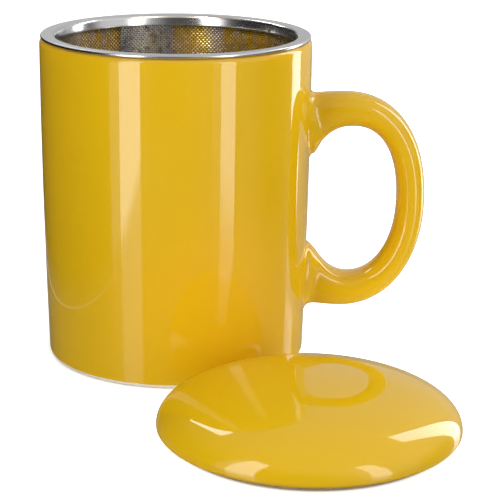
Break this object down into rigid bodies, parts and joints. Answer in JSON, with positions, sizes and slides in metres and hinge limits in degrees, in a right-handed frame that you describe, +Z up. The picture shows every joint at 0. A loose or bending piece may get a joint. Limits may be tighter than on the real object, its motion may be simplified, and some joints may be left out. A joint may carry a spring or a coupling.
{
  "type": "lidded tea mug with infuser",
  "caption": "Straight-sided glazed mug with a D-shaped handle, a drop-in steel mesh infuser basket resting on its lip, and a loose domed lid lying beside it.",
  "frame": {"origin": "centre of the cup's foot, on the table", "axes": "+Z up along the cup's axis, +X towards the handle; the lid lies on the table on the -Y side"},
  "size_m": [0.1198, 0.1569, 0.0994],
  "materials": {
    "yellow_glaze": "glossy yellow glaze over stoneware, bare at the foot",
    "satin_steel": "satin pressed stainless sheet",
    "woven_mesh": "plain-woven stainless wire cloth",
    "weld_steel": "spot-welded stainless"
  },
  "bodies": {
    "mug": {"cup": "yellow_glaze", "handle": "yellow_glaze"},
    "infuser": {"rim_flange": "satin_steel", "collar_band": "satin_steel", "collar_welds": "weld_steel", "side_mesh": "woven_mesh", "side_seam": "woven_mesh", "base_band": "satin_steel", "base_mesh": "woven_mesh", "base_clamp_ring": "satin_steel", "base_welds": "weld_steel"},
    "lid": {"lid": "yellow_glaze"}
  },
  "joints": [
    {"name": "infuser_lift", "type": "slide", "parent": "mug", "child": "infuser", "axis": [0, 0, 1], "range_m": [0, 0.09]},
    {"name": "lid_lift", "type": "slide", "parent": "mug", "child": "lid", "axis": [0.0872, -0.1757, 0.9806], "range_m": [0, 0.12]}
  ]
}
